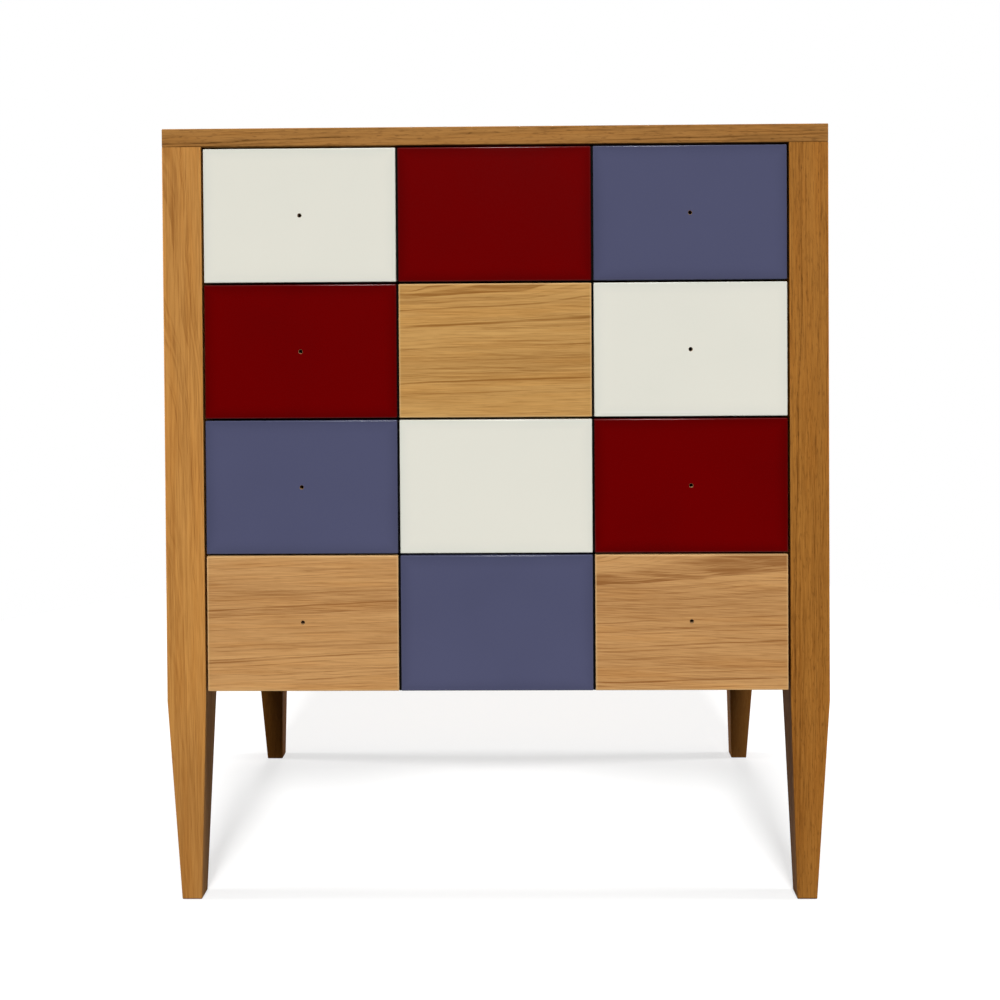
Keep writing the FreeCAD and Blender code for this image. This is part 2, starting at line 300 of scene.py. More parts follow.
class OakFigure(PatternGroup):
    """Growth rings, fibres and pores of oak, with the grain along X and the heart on the X axis."""

    COLOURS = ("Pale", "Deep", "Pore")
    SIZES = ("Ring", "Taper", "Figure", "Streak", "Fleck", "Tone")
    DARK_YEARS = ("Dark Year", "Second Year")
    NOWHERE = {"Dark Year": -1.0e4, "Second Year": -1.0e4, "Year Width": 1.0}

    title = "oak_figure"
    takes = {
        "Grain": Plug.VECTOR, **dict.fromkeys(COLOURS, Plug.COLOUR), **dict.fromkeys(SIZES, Plug.VALUE),
        **dict.fromkeys(NOWHERE, Plug.VALUE),
    }

    BEND = Noise((0.0040, 0.012, 0.012))
    RIPPLE = Noise((0.018, 0.06, 0.06), 1.0)
    BREAK = Noise((0.008, 0.22, 0.22), low=0.36, high=0.6)
    DARKNESS = Noise((0.009, 0.15, 0.15), low=0.34, high=0.62)
    FIBRE = Noise((0.009, 0.40, 0.40), 4.0, 0.66)
    HAIR = Noise((0.024, 0.95, 0.95), 2.0, 0.6)
    BAND = Noise((0.0016, 0.035, 0.035))
    BLUSH = Noise((0.0045, 0.06, 0.06), 3.0, 0.6, 0.42, 0.68)
    DASH = Noise((0.050, 1.0, 1.0), low=0.57, high=0.70)
    TICK = Noise((0.10, 0.52, 0.52), low=0.55, high=0.72)

    SPREAD_RATE = 0.4
    SPREAD_YEARS = 2.2
    EARLY_WOOD = (0.0, 0.36)
    YEAR_END = (0.90, 1.0)
    YEAR_LEAD = 0.1
    YEAR_STRENGTH = (0.25, 1.0)
    UNBROKEN = (0.3, 1.0)
    DARK_SHARE = (0.25, 0.75)
    HAIR_SHARE = (0.35, 0.75)
    PORE_SHARE = (0.4, 1.0)
    TICKED = (0.5, 0.95)
    TONES = (-0.5, 0.9)
    ROSE = (1.0, 0.95, 0.87, 1.0)
    ROUGHNESS = 0.48
    RING_ROUGHNESS = 0.10
    PORE_ROUGHNESS = 0.16
    PORE_HEIGHT = -0.7
    HAIR_HEIGHT = 0.35

    def draw(self) -> dict[str, Socket]:
        """Draw rings round the heart, then fibres, bands and pores along the grain.

        Returns:
            The group's outputs by name.
        """
        fleck = self.given["Fleck"]
        cone = self.cone()
        ring = self.rings(cone)
        hair = self.noise(self.HAIR)
        tone = self.total(
            self.times(ring, self.given["Figure"]),
            self.times(self.sway(self.noise(self.FIBRE), reach=1.0), self.given["Streak"]),
            self.times(self.sway(hair, reach=1.0), self.between(fleck, *self.HAIR_SHARE)),
            self.sway(self.noise(self.BAND), reach=0.5),
            self.dark_years(cone),
            self.given["Tone"],
        )
        wood = self.blend(self.ease(tone, *self.TONES), self.given["Pale"], self.given["Deep"])
        warm = self.blend(self.patches(self.BLUSH), wood, self.ROSE, "MULTIPLY")
        ticks = self.times(self.patches(self.TICK), self.ease(fleck, *self.TICKED))
        marks = self.math("MAXIMUM", self.patches(self.DASH), ticks)
        pore = self.times(marks, self.between(ring, *self.PORE_SHARE))
        rough = self.total(self.times(ring, self.RING_ROUGHNESS), self.times(pore, self.PORE_ROUGHNESS))
        return {
            "Color": self.blend(self.times(pore, fleck), warm, self.given["Pore"]),
            "Roughness": self.total(rough, self.ROUGHNESS),
            "Height": self.total(self.times(pore, self.PORE_HEIGHT), self.times(hair, self.HAIR_HEIGHT)),
        }

    def cone(self) -> Socket:
        """Measure the way from the heart, which the taper of the trunk lengthens along the grain.

        Returns:
            The way from the heart in millimetres, with the slow bends of the trunk.
        """
        bends = self.vector("ADD", self.swing(self.BEND, reach=4.5), self.swing(self.RIPPLE, reach=1.0))
        across = self.vector("MULTIPLY", self.place, (0.0, 1.0, 1.0))
        radius = self.vector("LENGTH", self.vector("ADD", across, bends))
        return self.math("MULTIPLY_ADD", self.axis(self.place, "X"), self.given["Taper"], radius)

    def swing(self, noise: Noise, reach: float) -> Socket:
        """Return a noise as a swing across the grain, with a given reach in millimetres."""
        way = self.cells(noise)["Color"]
        return self.vector("MULTIPLY_ADD", way, (0.0, 2.0 * reach, 2.0 * reach), (0.0, -reach, -reach))

    def rings(self, cone: Socket) -> Socket:
        """Draw the dark early wood of each ring, of which few are strong and most are faint.

        Args:
            cone: The way from the heart.

        Returns:
            A value that is 1 in early wood and 0 in late wood.
        """
        years = self.math("DIVIDE", cone, self.given["Ring"])
        inputs = {"W": self.times(years, self.SPREAD_RATE)}
        spread = self.add("ShaderNodeTexNoise", inputs, noise_dimensions="1D").outputs["Fac"]
        count = self.total(years, self.times(spread, self.SPREAD_YEARS))
        part = self.math("FRACT", count)
        early = self.inverse(self.ease(part, *self.EARLY_WOOD))
        dark = self.math("MAXIMUM", early, self.ease(part, *self.YEAR_END))
        year = self.math("FLOOR", self.total(count, self.YEAR_LEAD))
        strength = self.math("POWER", self.chance(year)["Value"], 2.0)
        shown = self.between(self.patches(self.BREAK), *self.UNBROKEN)
        return self.times(dark, shown, self.between(strength, *self.YEAR_STRENGTH))

    def dark_years(self, cone: Socket) -> Socket:
        """Draw the two years in which the wood grew darkest.

        Args:
            cone: The way from the heart.

        Returns:
            A value that is highest in the middle of those years and 0 away from them.
        """
        ways = [self.math("SUBTRACT", cone, self.given[name]) for name in self.DARK_YEARS]
        nearest = self.math("MINIMUM", *(self.math("ABSOLUTE", way) for way in ways))
        share = self.ease(self.math("DIVIDE", nearest, self.given["Year Width"]), 0.0, 1.0)
        return self.times(self.inverse(share), self.between(self.patches(self.DARKNESS), *self.DARK_SHARE))


class Staves(PatternGroup):
    """Boards glued edge to edge, counted along Y: each is shifted, toned and parted by a fine line."""

    title = "staves"
    takes = {"Grain": Plug.VECTOR, "Width": Plug.VALUE}
    gives = {"Grain": Plug.VECTOR, "Tone": Plug.VALUE, "Line": Plug.VALUE}

    HALF = (0.5, 0.5, 0.5)
    SHIFT = (1600.0, 60.0, 90.0)
    LINE = (0.1, 0.5)

    def draw(self) -> dict[str, Socket]:
        """Number the staves and move the grain of each to another part of the tree.

        Returns:
            The group's outputs by name.
        """
        width = self.given["Width"]
        count = self.math("DIVIDE", self.axis(self.place, "Y"), width)
        number = self.math("FLOOR", count)
        chance = self.chance(number)
        shift = self.vector("MULTIPLY", self.vector("SUBTRACT", chance["Color"], self.HALF), self.SHIFT)
        back = {"Y": self.times(self.total(number, 0.5), width, -1.0)}
        centred = self.vector("ADD", self.place, self.add("ShaderNodeCombineXYZ", back).outputs[0])
        part = self.math("FRACT", count)
        apart = self.times(self.math("MINIMUM", part, self.inverse(part)), width)
        return {
            "Grain": self.vector("ADD", centred, shift),
            "Tone": self.sway(chance["Value"], reach=0.22),
            "Line": self.inverse(self.ease(apart, *self.LINE)),
        }


class LacquerSkin(PatternGroup):
    """A sprayed satin skin: fine orange peel, faint clouds, a darker colour and more gloss towards the rim.
    """

    title = "lacquer_skin"
    takes = {"Place": Plug.VECTOR, "Rim": Plug.VALUE, "Body": Plug.COLOUR, "Build": Plug.COLOUR}
    gives = {**PatternGroup.gives, "Edge": Plug.VALUE}

    CLOUD = Noise((0.011, 0.011, 0.011))
    GRIT = Noise((0.45, 0.45, 0.45))
    PEEL = Noise((0.33, 0.33, 0.33), 1.0)
    RIM_POWER = 1.6
    RIM_SHARES = (-0.35, 1.35)
    EDGE_COAT = 0.45
    ROUGHNESS = 0.27

    def draw(self) -> dict[str, Socket]:
        """Draw the clouds, the rim and the orange peel.

        Returns:
            The group's outputs by name.
        """
        rim, cloud, grit = self.given["Rim"], self.noise(self.CLOUD), self.noise(self.GRIT)
        # The colour is drawn darker towards the rim.
        full = self.math("POWER", rim, self.RIM_POWER)
        build = self.total(full, self.sway(cloud, reach=0.5), self.sway(grit, reach=0.22))
        rough = self.total(self.sway(cloud, reach=0.05), self.sway(grit, reach=0.04), self.ROUGHNESS)
        return {
            "Color": self.blend(self.ease(build, *self.RIM_SHARES), self.given["Body"], self.given["Build"]),
            "Roughness": rough,
            "Height": self.noise(self.PEEL),
            "Edge": self.times(self.ease(rim, *ARRIS), self.EDGE_COAT),
        }


class PaleWood(PatternGroup):
    """Close-grained sawn wood with short flecks, with the grain along X."""

    title = "pale_wood"
    takes = {"Grain": Plug.VECTOR, "Pale": Plug.COLOUR, "Deep": Plug.COLOUR, "Fleck": Plug.COLOUR}

    BAND = Noise((0.003, 0.05, 0.05))
    FIBRE = Noise((0.012, 0.7, 0.7), 3.0)
    SPECK = Noise((0.30, 1.5, 1.5), 1.0, low=0.60, high=0.74)
    MEAN_TONE = 0.4
    TONES = (-0.2, 1.1)
    FLECK_SHARE = 0.55
    ROUGHNESS = 0.5
    HEIGHT = 0.5

    def draw(self) -> dict[str, Socket]:
        """Draw wide bands, fibres and flecks.

        Returns:
            The group's outputs by name.
        """
        fibre, fleck = self.noise(self.FIBRE), self.patches(self.SPECK)
        band = self.sway(self.noise(self.BAND), reach=0.8)
        tone = self.total(band, self.sway(fibre, reach=0.6), self.MEAN_TONE)
        wood = self.blend(self.ease(tone, *self.TONES), self.given["Pale"], self.given["Deep"])
        return {
            "Color": self.blend(self.times(fleck, self.FLECK_SHARE), wood, self.given["Fleck"]),
            "Roughness": self.total(self.sway(fibre, reach=0.06), self.ROUGHNESS),
            "Height": self.math("SUBTRACT", self.times(fibre, self.HEIGHT), self.times(fleck, self.HEIGHT)),
        }


class SteelSkin(PatternGroup):
    """Plated sheet: rolling marks along Y, faint clouds in the plating and small scuffs."""

    title = "steel_skin"
    takes = {"Place": Plug.VECTOR, "Bright": Plug.COLOUR, "Dull": Plug.COLOUR}

    ROLL = Noise((2.2, 0.015, 2.2), 3.0)
    CLOUD = Noise((0.09, 0.05, 0.09), 3.0)
    SCUFF = Noise((0.7, 0.06, 0.7), low=0.60, high=0.72)
    WEAR = 0.5
    DULLNESS = (0.2, 1.1)
    ROUGHNESS = 0.30

    def draw(self) -> dict[str, Socket]:
        """Draw the marks, clouds and scuffs.

        Returns:
            The group's outputs by name.
        """
        roll, cloud = self.noise(self.ROLL), self.noise(self.CLOUD)
        worn = self.times(self.patches(self.SCUFF), self.WEAR)
        dull = self.ease(self.total(cloud, self.sway(roll, reach=0.35), worn), *self.DULLNESS)
        marks = self.total(self.sway(roll, reach=0.10), self.sway(cloud, reach=0.08), worn)
        return {
            "Color": self.blend(dull, self.given["Bright"], self.given["Dull"]),
            "Roughness": self.total(marks, self.ROUGHNESS),
            "Height": roll,
        }


class Coat(NodeSheet):
    """A material in the making, with its shader."""

    END_GRAIN = (0.75, 0.97)

    def __init__(self, name: str) -> None:
        """Start the material with a bare shader.

        Args:
            name: The material's name.
        """
        self.material = bpy.data.materials.new(name)
        self.material.use_nodes = True
        super().__init__(self.material.node_tree)
        self.shader = self.add("ShaderNodeBsdfPrincipled", {})
        self.add("ShaderNodeOutputMaterial", {"Surface": self.shader.outputs["BSDF"]})

    def lay(self, pattern: type[PatternGroup], values: Mapping[str, object]) -> Node:
        """Return the node of a pattern, which is built at its first use, with values for its inputs."""
        tree = bpy.data.node_groups.get(pattern.title) or pattern().tree
        return self.add("ShaderNodeGroup", values, node_tree=tree)

    def lay_oak(self, board: "Finish", values: Mapping[str, object]) -> Node:
        """Place the oak figure with a board's own colours and sizes.

        Args:
            board: A finish with fields for the figure's colours and sizes.
            values: Values or sockets that go before the board's.

        Returns:
            The figure's node.
        """
        names = [name for name in OakFigure.COLOURS + OakFigure.SIZES if name not in values]
        own = {name: getattr(board, name.lower()) for name in names}
        return self.lay(OakFigure, {**OakFigure.NOWHERE, **own, **values})

    def wire(self, values: Mapping[str, object]) -> None:
        """Wire sockets to the shader's inputs, or set plain values on them."""
        for name, value in values.items():
            self.put(self.shader.inputs[name], value)

    def paint(self, colour: Socket, pattern: Node, finish: "Finish") -> None:
        """Wire a colour, and a pattern's roughness and height, to the shader.

        Args:
            colour: The surface's colour.
            pattern: A group node with Roughness and Height outputs.
            finish: The finish, for its relief and gloss.
        """
        relief = {"Height": pattern.outputs["Height"], "Distance": finish.relief * MM, "Strength": 1.0}
        normal = self.add("ShaderNodeBump", relief).outputs["Normal"]
        rough, gloss = pattern.outputs["Roughness"], finish.gloss
        self.wire({"Base Color": colour, "Roughness": rough, "Normal": normal, "Specular IOR Level": gloss})

    def grain(self, turn: Matrix, centre: Sequence[float] = ORIGIN, heart: Triple = ORIGIN) -> Socket:
        """Read a place in a board as millimetres along and across its grain.

        Args:
            turn: The turn that brings the grain to the X axis.
            centre: The middle of the board, in metres.
            heart: The pattern's origin from there, along and across the grain, in millimetres.

        Returns:
            The place in the pattern.
        """
        inputs = {
            "Vector": self.coordinate("Object"), "Rotation": turn.to_euler(),
            "Location": -(turn @ (Vector(centre) * PER_METRE)) - Vector(heart),
            "Scale": (PER_METRE, PER_METRE, PER_METRE),
        }
        return self.add("ShaderNodeMapping", inputs).outputs["Vector"]

    def facing(self, way: Sequence[float]) -> Socket:
        """Return 1 on faces square to a way and 0 on faces along it."""
        return self.math("ABSOLUTE", self.vector("DOT_PRODUCT", self.coordinate("Normal"), way))

    def end_grain(self, turn: Matrix) -> Socket:
        """Return 1 on end grain and 0 on long grain, for the turn that brings the grain to the X axis."""
        return self.ease(self.facing(turn.inverted() @ Vector((1.0, 0.0, 0.0))), *self.END_GRAIN)

    def rim(self) -> Socket:
        """Return how near the rim of a front a place is."""
        return self.add("ShaderNodeAttribute", {}, attribute_name=RIM).outputs["Fac"]


class Finish(ABC):
    """A finish that can be put on pieces as a material, with its relief in millimetres."""

    name: str
    gloss: float
    relief: float

    def material(self) -> bpy.types.Material:
        """Make the material, or find it if it is there already.

        Returns:
            The material.
        """
        found = bpy.data.materials.get(self.name)
        if found:
            return found
        coat = Coat(self.name)
        self.dress(coat)
        return coat.material

    @abstractmethod
    def dress(self, coat: Coat) -> None:
        """Wire the pattern to the shader.

        Args:
            coat: The material in the making.
        """


@dataclass(frozen=True)
class OakFinish(Finish):
    """Oiled oak of one board, cut from its own place in the tree. Sizes are in millimetres."""

    name: str
    centre: Vector
    grain_way: Grain
    heart: Triple
    pale: Colour = screen(206, 160, 95)
    deep: Colour = screen(148, 101, 47)
    pore: Colour = screen(122, 80, 36)
    ring: float = 4.2
    taper: float = 0.03
    figure: float = 0.8
    streak: float = 0.34
    fleck: float = 0.5
    tone: float = 0.0
    tilt: float = 0.0
    dark_spots: Sequence[Triple] = ()
    year_width: float = 1.8
    stave_width: float = 0.0
    stave_line: float = 0.6
    end_shade: Colour = screen(128, 86, 44)
    end_share: float = 0.55
    # Share of painted shade that darkens a leg towards the floor.
    painted_leg_shade: float = 0.0
    # Share by which the arrises are drawn lighter: wear, and a painted highlight on the rounded edges.
    worn: float = 0.0
    worn_and_highlight_wood: Colour = screen(226, 190, 136)
    gloss: float = 0.04
    relief: float = 0.08

    # Heights in metres over which a leg is drawn darker as painted shade, and the painted contact shadow
    # where it meets the floor.
    PAINTED_SHADE_HEIGHTS = (0.30, 0.10)
    PAINTED_FLOOR_SHADOW = (0.0035, 0.0)

    def dress(self, coat: Coat) -> None:
        """Wire the oak figure to the shader, with staves, end grain, painted shade on the legs, and arrises
        lightened by wear and a painted highlight.

        Args:
            coat: The material in the making.
        """
        turn = Matrix.Rotation(math.radians(self.tilt), 3, "Y") @ self.grain_way.turn()
        values = {"Grain": coat.grain(turn, self.centre, self.heart), **self.years(turn)}
        shades = []
        if self.stave_width:
            given = {"Grain": values["Grain"], "Width": self.stave_width}
            staves = coat.lay(Staves, given).outputs
            values.update({"Grain": staves["Grain"], "Tone": coat.total(staves["Tone"], self.tone)})
            shades.append((coat.times(staves["Line"], self.stave_line), self.pore))
        shades.append((coat.times(coat.end_grain(turn), self.end_share), self.end_shade))
        # Painted shade on the legs, darker towards the floor.
        if self.painted_leg_shade:
            shades.append((self.foot(coat), self.pore))
        # Lighter arrises: wear, and a painted highlight.
        if self.worn:
            shades.append((coat.times(coat.ease(coat.rim(), *ARRIS), self.worn), self.worn_and_highlight_wood))
        oak = coat.lay_oak(self, values)
        colour = oak.outputs["Color"]
        for share, shade in shades:
            colour = coat.blend(share, colour, shade)
        coat.paint(colour, oak, self)

    def years(self, turn: Matrix) -> dict[str, float]:
        """Work out how far from the heart the board's dark spots are, taper counted in.

        Args:
            turn: The turn that brings the grain to the X axis.

        Returns:
            The figure's inputs for the dark years, in millimetres.
        """
        found = {"Year Width": self.year_width}
        for name, spot in zip(OakFigure.DARK_YEARS, self.dark_spots):
            along, *across = turn @ Vector(spot) - Vector(self.heart)
            found[name] = math.hypot(*across) + self.taper * along
        return found

    def foot(self, coat: Coat) -> Socket:
        """Find the painted shade on a leg.

        Args:
            coat: The material in the making.

        Returns:
            A share that grows from the carcass down, and is full at the floor.
        """
        height = coat.axis(coat.coordinate("Object"), "Z")
        painted_shade = coat.times(coat.ease(height, *self.PAINTED_SHADE_HEIGHTS), self.painted_leg_shade)
        return coat.math("MAXIMUM", painted_shade, coat.ease(height, *self.PAINTED_FLOOR_SHADOW))


@dataclass(frozen=True)
class LacquerFinish(Finish):
    """Satin lacquer sprayed on fibreboard."""

    name: str
    body: Colour
    # The colour that the panel is drawn darker towards near its rim.
    build: Colour
    gloss: float = 0.03
    edge_roughness: float = 0.2
    relief: float = 0.012

    def dress(self, coat: Coat) -> None:
        """Wire the lacquer skin to the shader.

        Args:
            coat: The material in the making.
        """
        place = coat.grain(Grain.ACROSS.turn())
        values = {"Place": place, "Rim": coat.rim(), "Body": self.body, "Build": self.build}
        skin = coat.lay(LacquerSkin, values)
        coat.paint(skin.outputs["Color"], skin, self)
        coat.wire({"Coat Weight": skin.outputs["Edge"], "Coat Roughness": self.edge_roughness})


@dataclass(frozen=True)
class PaleWoodFinish(Finish):
    """Sanded and sealed wood of the drawer boxes and rails, or the same wood near black as painted shade in
    the gaps between front panels.
    """

    name: str
    grain_way: Grain
    pale: Colour = screen(212, 180, 136)
    deep: Colour = screen(188, 149, 102)
    fleck: Colour = screen(150, 104, 62)
    end_share: float = 0.6
    gloss: float = 0.2
    relief: float = 0.05

    def dress(self, coat: Coat) -> None:
        """Wire the pale wood to the shader.

        Args:
            coat: The material in the making.
        """
        turn = self.grain_way.turn()
        values = {"Grain": coat.grain(turn), "Pale": self.pale, "Deep": self.deep, "Fleck": self.fleck}
        wood = coat.lay(PaleWood, values)
        ends = coat.times(coat.end_grain(turn), self.end_share)
        coat.paint(coat.blend(ends, wood.outputs["Color"], self.deep), wood, self)


@dataclass(frozen=True)
class PlywoodFinish(Finish):
    """Plywood with an oak face in leaves, and plies that show along its edges. Sizes are in millimetres."""

    name: str
    grain_way: Grain
    through: Triple
    centre: Vector
    ply: float = 1.5
    leaf_width: float = 165.0
    heart: Triple = (0.0, 0.0, 70.0)
    pale: Colour = screen(208, 168, 112)
    deep: Colour = screen(176, 130, 78)
    pore: Colour = screen(140, 98, 54)
    ring: float = 6.0
    taper: float = 0.07
    figure: float = 0.6
    streak: float = 0.5
    fleck: float = 0.5
    core: Colour = screen(200, 162, 112)
    glue: Colour = screen(122, 84, 50)
    gloss: float = 0.2
    relief: float = 0.05

    # A pair of plies counts from 0 to 1, and its first ply lies within a quarter of a quarter.
    QUARTER = 0.25
    FACE = (0.6, 0.8)

    def dress(self, coat: Coat) -> None:
        """Wire the face leaves and the plies of the edges to the shader.

        Args:
            coat: The material in the making.
        """
        turn = self.grain_way.turn()
        if self.grain_way is Grain.UPRIGHT:
            turn = Matrix.Rotation(math.radians(90.0), 3, "X") @ turn
        given = {"Grain": coat.grain(turn, self.centre, self.heart), "Width": self.leaf_width}
        leaves = coat.lay(Staves, given).outputs
        oak = coat.lay_oak(self, {"Grain": leaves["Grain"], "Tone": leaves["Tone"]})
        depth = coat.vector("DOT_PRODUCT", coat.coordinate("Object"), self.through)
        pair = coat.math("FRACT", coat.times(depth, PER_METRE / (2.0 * self.ply)))
        edge = coat.blend(coat.math("COMPARE", pair, self.QUARTER, self.QUARTER), self.core, self.glue)
        face = coat.ease(coat.facing(self.through), *self.FACE)
        coat.paint(coat.blend(face, edge, oak.outputs["Color"]), oak, self)


@dataclass(frozen=True)
class SteelFinish(Finish):
    """Plated steel of slides and screws."""

    name: str
    bright: Colour
    dull: Colour
    gloss: float = 0.5
    relief: float = 0.01

    def dress(self, coat: Coat) -> None:
        """Wire the plated skin to the shader.

        Args:
            coat: The material in the making.
        """
        values = {"Place": coat.grain(Grain.ACROSS.turn()), "Bright": self.bright, "Dull": self.dull}
        skin = coat.lay(SteelSkin, values)
        coat.paint(skin.outputs["Color"], skin, self)
        coat.wire({"Metallic": 1.0})


LACQUERS = {
    "white_lacquer": LacquerFinish("white_satin", screen(228, 226, 214), screen(220, 220, 209)),
    "red_lacquer": LacquerFinish("red_satin", screen(107, 0, 1), screen(90, 0, 1)),
    "blue_grey_lacquer": LacquerFinish("blue_grey_satin", screen(81, 83, 111), screen(73, 75, 101)),
}
FIBREBOARD = PaleWoodFinish(
    "fibreboard_core", Grain.ACROSS, screen(150, 118, 82), screen(120, 92, 62), screen(90, 66, 42),
)
# Near black with almost no gloss: painted shade for the box fronts and the strips in the gaps between
# panels.
GAP_SHADE_BLACK = PaleWoodFinish(
    "gap_shade_black_wood", Grain.ACROSS, screen(14, 13, 12), screen(8, 7, 7), screen(4, 4, 4), gloss=0.02,
)
BEECH_ACROSS = PaleWoodFinish("beech_across", Grain.ACROSS)
BEECH_DEEP = PaleWoodFinish("beech_deep", Grain.DEEP)
ZINC = SteelFinish("zinc_plate", screen(205, 209, 214), screen(150, 154, 160))
CHROMATE = SteelFinish("yellow_chromate", screen(214, 196, 140), screen(160, 138, 84))

WARM_OAK = {"pale": screen(203, 146, 77), "deep": screen(143, 90, 37), "pore": screen(114, 69, 27)}
BROWN_OAK = {"pale": screen(172, 115, 49), "deep": screen(116, 69, 21), "pore": screen(88, 50, 15)}
DARK_OAK = {"pale": screen(171, 121, 63), "deep": screen(107, 68, 26), "pore": screen(83, 50, 20)}
SIDE_OAK = {"pale": screen(190, 139, 76), "deep": screen(136, 90, 40)}
ROSY_OAK = {"pale": screen(205, 157, 101), "deep": screen(146, 97, 52)}


def middle(node: str) -> Vector:
    """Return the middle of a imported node, in metres."""
    low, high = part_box(node)
    return (low + high) / 2


def stand(name: str, data: bpy.types.ID | Mesh) -> bpy.types.Object:
    """Put an object into the scene.

    Args:
        name: Its name.
        data: Its camera or light, or its shape, which is freed.

    Returns:
        The object.
    """
    if isinstance(data, Mesh):
        shape = data
        data = bpy.data.meshes.new(name)
        shape.to_mesh(data)
        shape.free()
    made = bpy.data.objects.new(name, data)
    bpy.context.scene.collection.objects.link(made)
    return made


@dataclass
class Block:
    """A packed board that is made again as a block with rounded arrises."""

    node: str
    arris: float = 1.2 * MM
    arris_steps: int = 3

    def build(self) -> Mesh:
        """Model the board and round its worked edges over, shaded smooth.

        Returns:
            The board's mesh.
        """
        mesh = self.saw()
        made = bmesh.ops.bevel(
            mesh, geom=[edge for edge in mesh.edges if self.is_worked(edge)], offset=self.arris,
            offset_type="OFFSET", segments=self.arris_steps, profile=0.5, affect="EDGES", material=-1,
            clamp_overlap=True,
        )
        for face in made["faces"]:
            face.smooth = True
        return mesh

    def saw(self) -> Mesh:
        """Model the board with sharp edges.

        Returns:
            The board's mesh.
        """
        low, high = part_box(self.node)
        mesh = bmesh.new()
        bmesh.ops.create_cube(mesh, size=1.0)
        bmesh.ops.scale(mesh, vec=high - low, verts=mesh.verts)
        bmesh.ops.translate(mesh, vec=(low + high) / 2, verts=mesh.verts)
        return mesh

    def is_worked(self, edge: Edge) -> bool:
        """Tell whether an edge is rounded: every one is."""
        return True


@dataclass
class FrontPanel(Block):
    """One front panel with rounded arrises and, in the outer columns, a bored knob hole."""

    arris: float = 1.1 * MM
    bored: bool = True
    rim_width: float = 17.0 * MM
    bore_radius: float = 2.25 * MM
    mouth_radius: float = 2.6 * MM
    mouth_depth: float = 0.35 * MM
    bore_sides: int = 24
    patch: float = 12.0 * MM
    weld: float = 0.001 * MM

    def build(self) -> Mesh:
        """Model the panel.

        Returns:
            The panel's mesh, with the bore on material number 1.
        """
        mesh = super().build()
        rim = mesh.verts.layers.float.new(RIM)
        for vert in mesh.verts:
            vert[rim] = 1.0
        front = min(mesh.faces, key=lambda face: face.calc_center_median().y)
        back = max(mesh.faces, key=lambda face: face.calc_center_median().y)
        bmesh.ops.inset_individual(mesh, faces=[front, back], thickness=self.rim_width, use_even_offset=True)
        for vert in front.verts:
            vert[rim] = 0.0
        if self.bored:
            self.bore(mesh, front, back)
        return mesh

    def knob_place(self) -> Vector:
        """Find the knob hole.

        Returns:
            The middle of the hole's mouth, in metres.
        """
        name = self.node.partition("_front_")[0] + "_knob_holes"
        mount = next(item for item in frame["record"]["mounts"] if item["name"] == name)
        return Vector((middle(self.node).x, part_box(self.node)[0].y, mount["pos_m"][2]))

    def bore(self, mesh: Mesh, front: Face, back: Face) -> None:
        """Bore the knob hole, with a slight countersink at its mouth.

        Args:
            mesh: The panel's mesh.
            front: The middle face of its front.
            back: The middle face of its back.
        """
        near, far = (face.verts[0].co.y for face in (front, back))
        centre = self.knob_place()
        patches = bmesh.ops.extrude_discrete_faces(mesh, faces=[front, back])["faces"]
        for vert in {vert for patch in patches for vert in patch.verts}:
            vert.co.x = centre.x + math.copysign(self.patch / 2, vert.co.x - centre.x)
            vert.co.z = centre.z + math.copysign(self.patch / 2, vert.co.z - centre.z)
        edges = [edge for patch in patches for edge in patch.edges]
        bmesh.ops.delete(mesh, geom=patches, context="FACES_ONLY")
        bmesh.ops.subdivide_edges(mesh, edges=edges, cuts=self.bore_sides // 4 - 1)
        open_edges = [edge for edge in mesh.edges if edge.is_boundary]
        mouth = [edge for edge in open_edges if abs(edge.verts[0].co.y - near) < self.arris]
        tail = [edge for edge in open_edges if abs(edge.verts[0].co.y - far) < self.arris]
        rings = ((self.mouth_radius, near, 0), (self.bore_radius, near + self.mouth_depth, 1),
                 (self.bore_radius, far, 1))
        for radius, depth, material in rings:
            mouth = self.ring(mesh, mouth, Vector((centre.x, depth, centre.z)), radius, material)
        self.ring(mesh, tail, Vector((centre.x, far, centre.z)), self.bore_radius, 0)
        bmesh.ops.remove_doubles(mesh, verts=mesh.verts, dist=self.weld)
        bmesh.ops.recalc_face_normals(mesh, faces=mesh.faces)

    @staticmethod
    def ring(mesh: Mesh, loop: Sequence[Edge], centre: Vector, radius: float, material: int) -> list[Edge]:
        """Carry an open loop on to a ring.

        Args:
            mesh: The panel's mesh.
            loop: The open loop's edges.
            centre: Middle of the ring, in metres.
            radius: Radius of the ring, in metres.
            material: Material number of the faces in between.

        Returns:
            The ring's edges.
        """
        made = bmesh.ops.extrude_edge_only(mesh, edges=list(loop))["geom"]
        for item in made:
            if isinstance(item, bmesh.types.BMVert):
                out = Vector((item.co.x - centre.x, 0.0, item.co.z - centre.z))
                item.co = centre + out.normalized() * radius
            elif isinstance(item, Face):
                item.material_index = material
                item.smooth = material > 0
        return [item for item in made if isinstance(item, Edge) and item.is_boundary]


